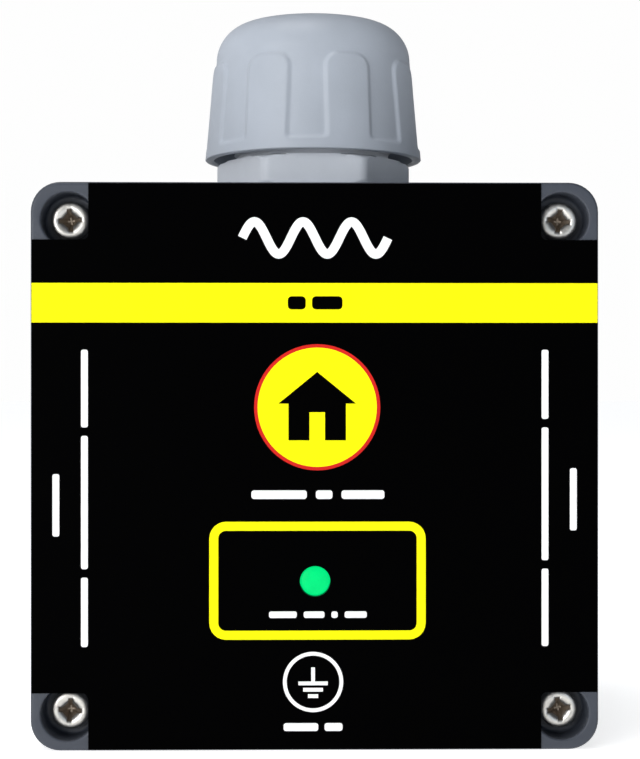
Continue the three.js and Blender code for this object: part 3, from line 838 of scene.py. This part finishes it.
def make_dome_nut():
    """A tapered skirt with grip pads, a round shoulder and a flat crown with the cable's hole."""
    bend = NUT_TOP - SHOULDER_HEIGHT
    foot, shoulder = NUT_FOOT - PAD_PROUD, NUT_SHOULDER - PAD_PROUD
    edge = 0.14
    skirt_rows, thread_rows = 72, 54
    skirt = [(foot - edge, NUT_BOTTOM), (foot, NUT_BOTTOM + edge)]
    for k in range(1, skirt_rows + 1):
        share = k / skirt_rows
        up = NUT_BOTTOM + (SHOULDER_HEIGHT - NUT_BOTTOM) * share
        skirt.append((foot + (shoulder - foot) * share, up))
    skirt_places = set(skirt)
    dome = arc(shoulder - bend, SHOULDER_HEIGHT, bend, 0, 90, 22)[1:]
    mouth = arc(NUT_HOLE + 0.9, NUT_TOP - 0.9, 0.9, 90, 180, 6)
    inside = [(NUT_HOLE, NUT_TOP - 3), (NUT_HOLE + 2.6, NUT_TOP - 4), (NUT_BORE, 100.5)]
    thread_top, thread_end = 100.2, NUT_BOTTOM + NUT_MOUTH_DEPTH + 0.6
    row = (thread_top - thread_end) / thread_rows
    thread = [(NUT_BORE, thread_top - row * k) for k in range(thread_rows + 1)]
    ledge = NUT_BOTTOM + NUT_MOUTH_DEPTH
    counterbore = [(NUT_BORE + 0.5, ledge), (NUT_MOUTH, ledge),
                   (NUT_MOUTH, NUT_BOTTOM + 0.1), (NUT_MOUTH + 0.1, NUT_BOTTOM)]
    thread_form = helix(GLAND_PITCH, -0.35, NUT_BOTTOM, thread_top + 0.01)

    def relief(angle, radius, height):
        if radius == NUT_BORE:
            return thread_form(angle, radius, height)
        if (radius, height) in skirt_places:
            return radius + PAD_PROUD * pad_mask(angle, radius, height)
        return radius

    turned_piece("dome_nut", skirt + dome + mouth + inside + thread + counterbore, 400, [gland_nylon],
                 "dome_nut", "gland_nylon", "gland_dome_nut", relief=relief, sharp=60)


def hexed(limit_above):
    """A relief that cuts a turned shape down to the 27 mm hexagon wherever it is wider than limit_above."""
    def relief(angle, radius, height):
        if radius <= limit_above:
            return radius
        off_flat = (angle % (math.pi / 3)) - math.pi / 6
        return min(radius, HEX_APOTHEM / math.cos(off_flat))
    return relief


def chamfered_hex(bottom, top):
    """The hexagon's outer limit: full width in the middle, drawn in at both ends as on a nut."""
    edge = [(HEX_REACH - 1.3, 0), (HEX_REACH - 0.45, 0.25), (HEX_REACH - 0.08, 0.6), (HEX_REACH, 0.9)]
    return [(r, bottom + h) for r, h in edge] + [(r, top - h) for r, h in reversed(edge)]


def threaded(low, high, radius, rows_per_turn=6):
    rows = round((high - low) / GLAND_PITCH * rows_per_turn)
    return [(radius, low + (high - low) * k / rows) for k in range(rows + 1)]


def make_gland_body():
    stem_end, neck_top = body_low.z, body_high.z
    hex_bottom, hex_top = washer_high.z + 0.05, 88.0
    stem, neck, bore, cup, cup_floor = 10.5, 12.6, 7.5, 10.2, 90.0
    stem_root, neck_root = stem - GLAND_DEPTH, neck - GLAND_DEPTH
    outside = [(stem_root, stem_end)] + threaded(stem_end + 0.5, hex_bottom - 1.2, stem)
    outside += [(stem_root, hex_bottom - 0.8), (stem_root, hex_bottom)] + chamfered_hex(hex_bottom, hex_top)
    outside += [(neck_root, hex_top), (neck_root, hex_top + 0.8)]
    outside += threaded(hex_top + 1.2, neck_top - 0.5, neck) + [(neck_root, neck_top)]
    inside = [(cup + 0.3, neck_top), (cup, neck_top - 0.3), (cup, cup_floor), (bore, cup_floor)]
    inside += [(bore, stem_end)]
    cut_hex = hexed(HEX_APOTHEM)
    cut_thread = helix(GLAND_PITCH, GLAND_DEPTH, stem_end, neck_top)

    def relief(angle, radius, height):
        if radius in (stem, neck):
            return cut_thread(angle, radius, height)
        return cut_hex(angle, radius, height)

    # The hexagon takes the nylon painted lighter against the nut's shade.
    turned_piece("gland_hexagon", outside + inside, 240, [gland_nylon_painted_lighter], "root", "gland_nylon", "gland_body",
                 relief=relief, sharp=50)


def make_flange():
    bottom, top = washer_low.z, washer_high.z
    outer, hole = washer_high.x, 10.75
    profile = [(hole, bottom), (outer - 0.15, bottom), (outer, bottom + 0.2), (outer, top - 0.3),
               (outer - 0.3, top), (hole, top)]
    # The flange takes the same nylon painted lighter.
    turned_piece("gland_flange", profile, 160, [gland_nylon_painted_lighter], "root", "gland_nylon", "gland_washer")


def make_lock_nut():
    low, high = mm_box("gland_locknut")
    hole, edge = 10.75, 0.4
    inside = [(hole + 0.35, high.z), (hole, high.z - edge), (hole, low.z + edge), (hole + 0.35, low.z)]
    turned_piece("lock_nut", chamfered_hex(low.z, high.z) + inside, 240, [gland_nylon], "root", "gland_nylon",
                 "gland_locknut", relief=hexed(HEX_APOTHEM), sharp=50)


def make_grommet():
    low, high = mm_box("gland_grommet")
    outer, hole = high.x, 4.9
    outside = [(outer - 0.3, low.z), (outer, low.z + 0.3), (outer, high.z - 2), (outer - 1.2, high.z - 0.3),
               (outer - 1.6, high.z)]
    inside = [(hole + 0.6, high.z), (hole, high.z - 0.6), (hole, low.z + 0.4)]
    turned_piece("grommet", [(hole + 0.4, low.z)] + outside + inside, 96, [seal_rubber], "root", "seal",
                 "gland_grommet")


def make_slip_ring():
    low, high = mm_box("gland_slip_ring")
    outer, hole, edge = high.x, 6.4, 0.2
    profile = [(hole, low.z), (outer - edge, low.z), (outer, low.z + edge), (outer, high.z - edge),
               (outer - edge, high.z), (hole + edge, high.z), (hole, high.z - edge)]
    turned_piece("slip_ring", profile, 96, [clear_nylon], "slip_ring", "nylon_clear", "gland_slip_ring")


# ---- electronics ----

SEAT = back_and_front("varistor_1")[0]
LEAD = 0.4
MASK, TRACK, SILK, PAD = range(4)
BOARD_HOLE = 1.6
LEG_SPAN = 7.5
POLES = 4
WELL_RADIUS = 2.2
OPENING_HALF, OPENING_DEPTH = 2.6, 4.0
OPENING_FROM, OPENING_TO = SEAT + 2, SEAT + 7


def middle(node):
    """Where a node stands on the board: across and up, with half its width and height."""
    low, high = mm_box(node)
    return (low.x + high.x) / 2, (low.z + high.z) / 2, (high.x - low.x) / 2, (high.z - low.z) / 2


def paint(bm, start, number):
    """Gives the faces made since `start` a material number."""
    bm.faces.ensure_lookup_table()
    for face in bm.faces[start:]:
        face.material_index = number


def outlined(x, up, half_width, half_height, stroke=0.3):
    """A silk-screened frame with bare mask inside."""
    return [(rounded_about(x, up, half_width, half_height, 0.6), SILK),
            (rounded_about(x, up, half_width - stroke, half_height - stroke, 0.35), MASK)]


def board_prints():
    """Tracks under the mask, then the legend's frames, then the bare pads and the holes."""
    varistors = [middle(f"varistor_{k}") for k in range(1, 7)]
    fuses = [middle(f"thermal_fuse_{k}") for k in range(1, 4)]
    axials = [middle(node) for node in ("lamp_resistor_1", "lamp_resistor_2", "lamp_diode")]
    boxes = [middle(node) for node in ("film_capacitor", "terminal_block")]
    legs = sorted({round(x + side * LEG_SPAN / 2, 3) for x, *_ in varistors for side in (-1, 1)})
    under_terminals, edge_track = 56, 28.0
    tracks = [rounded(leg - 1.9, 12.6, leg + 1.9, 39.6, 1.2) for leg in legs]
    for x, up, half_width, _ in fuses:
        tracks.append(rounded(x + half_width - 2.0, up - 1.5, x + half_width + 1.2, under_terminals, 1.2))
    tracks += [rounded(-edge_track, 44.6, edge_track, 45.4, 0.35)]
    tracks += [rounded(-edge_track - 1.4, 22, -edge_track, under_terminals, 0.6)]
    tracks += [rounded(edge_track, 22, edge_track + 1.4, under_terminals, 0.6)]
    prints = [(track, TRACK) for track in tracks]
    for x, up, half_width, half_height in varistors:
        prints += outlined(x, up, half_width + 0.4, half_height + 0.5)
    for x, up, half_width, half_height in fuses:
        prints += outlined(x, up, half_width - 1.4, half_height + 0.4)
    for x, up, half_width, half_height in axials:
        prints += outlined(x, up, half_width - 1.5, half_height + 0.3, 0.2)
    for x, up, half_width, half_height in boxes:
        prints += outlined(x, up, half_width + 0.5, half_height + 0.5)
    prints += [(disc(0, LIGHT_HEIGHT, 3.6, 48), SILK), (disc(0, LIGHT_HEIGHT, 3.3, 48), MASK)]
    for x, up, _, _ in varistors:
        prints += [(disc(x + side * LEG_SPAN / 2, up, 1.25, 28), PAD) for side in (-1, 1)]
    for x, up, half_width, _ in fuses + axials:
        prints += [(disc(x + side * (half_width - LEAD), up, 1.1, 28), PAD) for side in (-1, 1)]
    prints += [(disc(*centre, 2.9, 40), PAD) for centre in POSTS]
    prints += [(disc(*centre, BOARD_HOLE, 32), None) for centre in POSTS]
    return prints


def make_board():
    low, high = mm_box("circuit_board")
    bm = bmesh.new()
    printed_sheet(bm, rounded(low.x, low.z, high.x, high.z, 1.0), board_prints(), -low.y, -high.y)
    piece("printed_board", bm, [solder_mask, track_mask, silk_white, tinned_copper], "root", "laminate",
          "circuit_board")


def wire(bm, up, path, sides=12):
    """A round lead through (x, out) points at one height."""
    rings = []
    for k, (x, out) in enumerate(path):
        before, after = path[max(k - 1, 0)], path[min(k + 1, len(path) - 1)]
        heading = math.atan2(after[1] - before[1], after[0] - before[0])
        ring = []
        for s in range(sides):
            angle = 2 * math.pi * s / sides
            off = LEAD * math.cos(angle)
            ring.append(bm.verts.new(facing_front(x - off * math.sin(heading), up + LEAD * math.sin(angle),
                                                  out + off * math.cos(heading))))
        rings.append(ring)
    for a, b in zip(rings, rings[1:]):
        bridge(bm, a, b)
    flat(bm, rings[0])
    flat(bm, rings[-1])


def make_axial(name, node, slot, materials, half, waist=1.0, bands=()):
    """A part lying between two bent leads, thinner at its waist. bands are (from, to, material number)."""
    x, up, half_span, radius = middle(node)
    axis = back_and_front(node)[1] - radius
    rows, end, bend = 56, 0.5, 0.9
    profile = [(0, -half)]
    for k in range(1, rows):
        along = half * (2 * k / rows - 1)
        into_end = max(0, abs(along) - half + end) / end
        cap = waist + (1 - waist) * smooth_step(half - 1.7, half - 1.2, abs(along))
        profile.append((radius * cap * (0.6 + 0.4 * math.sqrt(1 - into_end ** 2)), along))
    profile.append((0, half))
    bm = bmesh.new()
    turned(bm, profile, 28, lambda a, b, along: facing_front(x + along, up + a, axis + b))
    for face in bm.faces:
        along = face.calc_center_median().x / MM - x
        for start, stop, number in bands:
            if start < along < stop:
                face.material_index = number
    body_faces = len(bm.faces)
    corner = half_span - LEAD - bend
    for side in (-1, 1):
        path = [(half - 0.3, axis)] + arc(corner, axis - bend, bend, 90, 0, 8) + [(corner + bend, SEAT)]
        wire(bm, up, [(x + side * across, out) for across, out in path])
    paint(bm, body_faces, len(materials) - 1)
    piece(name, bm, materials, "root", slot, node)


def make_varistor(number):
    """A dipped disc standing on two legs, its coat run down on to them."""
    x, up, radius, half = middle(f"varistor_{number}")
    centre_out = back_and_front(f"varistor_{number}")[1] - radius
    bend = 2.2
    edge = arc(radius - bend, half - bend, bend, 90, 0, 9)
    edge += arc(radius - bend, bend - half, bend, 0, -90, 9)
    dished = [(0, half - 0.3), (4.6, half - 0.24), (6.6, half - 0.06)]
    bm = bmesh.new()
    turned(bm, dished + edge + [(r, -h) for r, h in reversed(dished)], 72,
           lambda a, b, along: facing_front(x + a, up + along, centre_out + b))
    legs = [(x + side * LEG_SPAN / 2, up) for side in (-1, 1)]
    drip = [(0, 0.7), (0.55, 0.7), (0.7, 1.1), (0.95, 1.9), (1.7, 3.2), (0, 3.2)]
    for leg in legs:
        turned(bm, [(r, SEAT + h) for r, h in drip], 24, facing_front, leg)
    coated = len(bm.faces)
    soldered = [(0, 0), (LEAD + 0.35, 0), (LEAD, 0.35), (LEAD, 0.9), (0, 0.9)]
    for leg in legs:
        turned(bm, [(r, SEAT + h) for r, h in soldered], 16, facing_front, leg)
    paint(bm, coated, 1)
    piece(f"dipped_disc_{number}", bm, [varistor_blue, tinned_copper], "root", "varistor_coat",
          f"varistor_{number}")


def round_box(node, bend):
    """An outline function: a node's rectangle with round corners, drawn in by its inset."""
    x, up, half_width, half_height = middle(node)

    def outline(inset):
        return rounded_about(x, up, half_width - inset, half_height - inset, max(bend - inset, 0.05))
    return outline


def make_capacitor():
    """A moulded box with round edges on two small feet."""
    x, up, half_width, _ = middle("film_capacitor")
    bottom, top = back_and_front("film_capacitor")
    bm = bmesh.new()
    under = [(0.4, bottom), (0.1, bottom + 0.1), (0, bottom + 0.4)]
    foot, crown = stack(bm, round_box("film_capacitor", 0.9), under + round_over(0.7, top))
    flat(bm, foot)
    flat(bm, crown)
    for side in (-1, 1):
        pad = circle(x + side * (half_width - 2), up, 1.2, 24)
        flat(bm, stack(bm, pad, [(0, bottom + 0.2), (0, SEAT)])[1])
    piece("boxed_capacitor", bm, [capacitor_yellow], "root", "capacitor_case", "film_capacitor")


def cut_box(obj, low, high, material_number=0):
    """Cuts a box out of a mesh, corners given as seen from the front; its walls get a material number."""
    bm = bmesh.new()
    sides = rectangle(low[0], low[1], high[0], high[1])
    back, front = stack(bm, lambda inset: sides, [(0, low[2]), (0, high[2])])
    flat(bm, back)
    flat(bm, front)
    paint(bm, 0, material_number)
    cut_out(obj, bm)


def make_terminals():
    """A moulded row of clamps, each with a screw well in its front and a wire opening lined with metal."""
    x, up, half_width, half_height = middle("terminal_block")
    low, high = up - half_height, up + half_height
    bottom, top = back_and_front("terminal_block")
    pitch = 2 * half_width / POLES
    poles = [x + (k + 0.5 - POLES / 2) * pitch for k in range(POLES)]
    well_up, well_floor = middle("terminal_screw_1")[1], back_and_front("terminal_screw_1")[0] - 0.1
    bm = bmesh.new()
    under = [(0.2, bottom), (0, bottom + 0.2)]
    foot, crown = stack(bm, round_box("terminal_block", 0.5), under + round_over(0.45, top))
    mouths = []
    for pole in poles:
        mouth, floor = stack(bm, circle(pole, well_up, WELL_RADIUS, 36),
                             [(-0.25, top), (0, top - 0.25), (0, well_floor)])
        flat(bm, floor)
        mouths.append(mouth)
    flat(bm, foot)
    flat(bm, crown, *mouths)
    block = piece("clamp_block", bm, [terminal_green, tinned_copper], "root", "terminal_plastic",
                  "terminal_block")
    groove_half, groove_above, groove_in_front = 0.25, 1.2, 0.8
    for pole in poles[1:]:
        left, right = pole - pitch / 2 - groove_half, pole - pitch / 2 + groove_half
        cut_box(block, (left, high - groove_above, bottom - 1), (right, high + 1, top + 1))
        cut_box(block, (left, low - 1, top - groove_in_front), (right, high + 1, top + 1))
    for pole in poles:
        cut_box(block, (pole - OPENING_HALF, high - OPENING_DEPTH, OPENING_FROM),
                (pole + OPENING_HALF, high + 1, OPENING_TO), 1)
    shade(block, 20)


def make_clamp_screw(number):
    """A slotted screw, down in its well."""
    x, up, radius, _ = middle(f"terminal_screw_{number}")
    bottom, top = back_and_front(f"terminal_screw_{number}")
    profile = [(0, top), (radius - 0.3, top), (radius - 0.08, top - 0.1), (radius, top - 0.3),
               (radius, bottom + 0.1), (radius - 0.1, bottom), (0, bottom)]
    screw = turned_piece(f"slotted_screw_{number}", profile, 48, [nickel, recess_painted_shade],
                         f"clamp_screw_{number}", "screw", f"terminal_screw_{number}", (x, up))
    slot_half, slot_depth = 0.35, 1.0
    slot = (x - radius - 1, up - slot_half, top - slot_depth), (x + radius + 1, up + slot_half, top + 1)
    # The slot's walls take the screw's second material, painted shade.
    cut_box(screw, *slot, 1)
    shade(screw)


def make_board_screw(number, twist):
    x, up, radius, _ = middle(f"board_screw_{number}")
    tip, top = back_and_front(f"board_screw_{number}")
    head = [(0, top), (1.5, top), (1.95, top - 0.08), (2.2, top - 0.28), (radius, top - 0.65),
            (radius, SEAT + 0.1), (radius - 0.1, SEAT)]
    shank = 1.05
    point = [(shank, SEAT), (shank, tip + 0.5), (0.6, tip), (0, tip)]
    screw = turned_piece(f"board_fixing_{number}", head + point, 40, [nickel, recess_painted_shade], "root", "screw",
                         f"board_screw_{number}", (x, up))
    cut_recess(screw, (x, up), top, twist, 1.3, 0.3, 0.8)


make_base()
make_lid()
make_gasket()
make_label()
SCREW_SEAT = POCKET_FLOOR + 0.05
for number, (centre, twist) in enumerate(zip(CORNERS, (7, -5, 3, -9)), 1):
    make_screw(number, centre, SCREW_SEAT, twist)
    make_retainer(number, centre)
    make_insert(number, centre)
make_lens()
make_lamp()
make_spacer()
make_dome_nut()
make_gland_body()
make_flange()
make_lock_nut()
make_grommet()
make_slip_ring()
make_board()
for number in range(1, 7):
    make_varistor(number)
for number in range(1, 4):
    make_axial(f"ceramic_fuse_{number}", f"thermal_fuse_{number}", "fuse_coat",
               [fuse_ceramic, resin_grey, tinned_copper], 5.5, 1.0, [(-5.5, -4.5, 1), (4.5, 5.5, 1)])
for number in (1, 2):
    make_axial(f"banded_resistor_{number}", f"lamp_resistor_{number}", "resistor_coat",
               [resistor_tan, black_plastic, ink_red, capacitor_yellow, tinned_copper], 3.25, 0.82,
               [(-2.75, -2.1, 2), (-1.4, -0.8, 1), (-0.3, 0.3, 2), (1.9, 2.5, 3)])
make_axial("banded_diode", "lamp_diode", "diode_case", [black_plastic, silk_white, tinned_copper], 2.9, 1.0,
           [(1.5, 2.2, 1)])
make_capacitor()
make_terminals()
for number, twist in enumerate((20, -35, 10, 40), 1):
    make_clamp_screw(number)
    make_board_screw(number, twist)


# ---- camera, light and floor ----

CAMERA_DISTANCE = 0.25
FRAME_HEIGHT = 0.1094  # what the view takes in at the label, top to bottom
VIEW_MIDDLE = Vector((0.0007, -LABEL_FRONT * MM, 0.0535))
CAMERA_ASIDE = -0.0036  # the gland, further back than the label, shows a little left of its middle
camera_data = bpy.data.cameras.new("camera")
camera_data.lens = 36 * CAMERA_DISTANCE / FRAME_HEIGHT
camera = bpy.data.objects.new("camera", camera_data)
camera.location = VIEW_MIDDLE + Vector((CAMERA_ASIDE, -CAMERA_DISTANCE, 0))
camera.rotation_euler = (math.radians(90), 0, math.atan2(CAMERA_ASIDE, CAMERA_DISTANCE))
scene.collection.objects.link(camera)
scene.camera = camera
scene.view_settings.view_transform = "Standard"


def soft_light(name, location, target, size, watts, color=(1, 1, 1)):
    data = bpy.data.lights.new(name, "AREA")
    data.shape = "DISK"
    data.size = size
    data.energy = watts
    data.color = color
    light = bpy.data.objects.new(name, data)
    light.location = location
    light.rotation_euler = (Vector(target) - Vector(location)).to_track_quat("-Z", "Y").to_euler()
    scene.collection.objects.link(light)


def make_room():
    """Light from all round, stronger from the left, and plain white where the camera sees the room itself."""
    world = bpy.data.worlds.new("studio")
    scene.world = world
    world.use_nodes = True
    tree = world.node_tree
    direction = tree.nodes.new("ShaderNodeTexCoord")
    axes = tree.nodes.new("ShaderNodeSeparateXYZ")
    side = tree.nodes.new("ShaderNodeMapRange")
    set_inputs(side, {"From Min": -0.6, "From Max": 0.8, "To Min": 0.55, "To Max": 0.03})
    sky = tree.nodes["Background"]
    set_inputs(sky, {"Color": (0.93, 0.96, 1.0, 1)})
    seen = tree.nodes.new("ShaderNodeBackground")
    set_inputs(seen, {"Color": (1, 1, 1, 1), "Strength": 0.99})
    paths = tree.nodes.new("ShaderNodeLightPath")
    choice = tree.nodes.new("ShaderNodeMixShader")
    tree.links.new(direction.outputs["Generated"], axes.inputs["Vector"])
    tree.links.new(axes.outputs["X"], side.inputs["Value"])
    tree.links.new(side.outputs["Result"], sky.inputs["Strength"])
    tree.links.new(paths.outputs["Is Camera Ray"], choice.inputs["Fac"])
    tree.links.new(sky.outputs["Background"], choice.inputs[1])
    tree.links.new(seen.outputs["Background"], choice.inputs[2])
    tree.links.new(choice.outputs["Shader"], tree.nodes["World Output"].inputs["Surface"])


def make_floor(reach=4.0):
    """A pale, faintly glowing floor, so that it meets the white room without a line."""
    corners = [(x, y, 0) for x, y in rectangle(-reach, -reach, reach, reach)]
    mesh = bpy.data.meshes.new("floor")
    mesh.from_pydata(corners, [], [(0, 1, 2, 3)])
    pale = new_material("floor_paint", (0.9, 0.9, 0.9), 0.7, specular=0.1)
    glow(pale, (1, 1, 1), 0.71)
    mesh.materials.append(pale)
    floor = bpy.data.objects.new("floor", mesh)
    scene.collection.objects.link(floor)


AIM = (0, 0, 0.09)
soft_light("key", (-0.50, -0.72, 0.12), AIM, 0.45, 4.0)
soft_light("fill", (0.42, -0.8, 0.06), AIM, 0.5, 0.9, (0.72, 0.85, 1.0))
soft_light("top", (-0.15, -0.15, 0.8), AIM, 0.5, 2.2)
make_room()
make_floor()
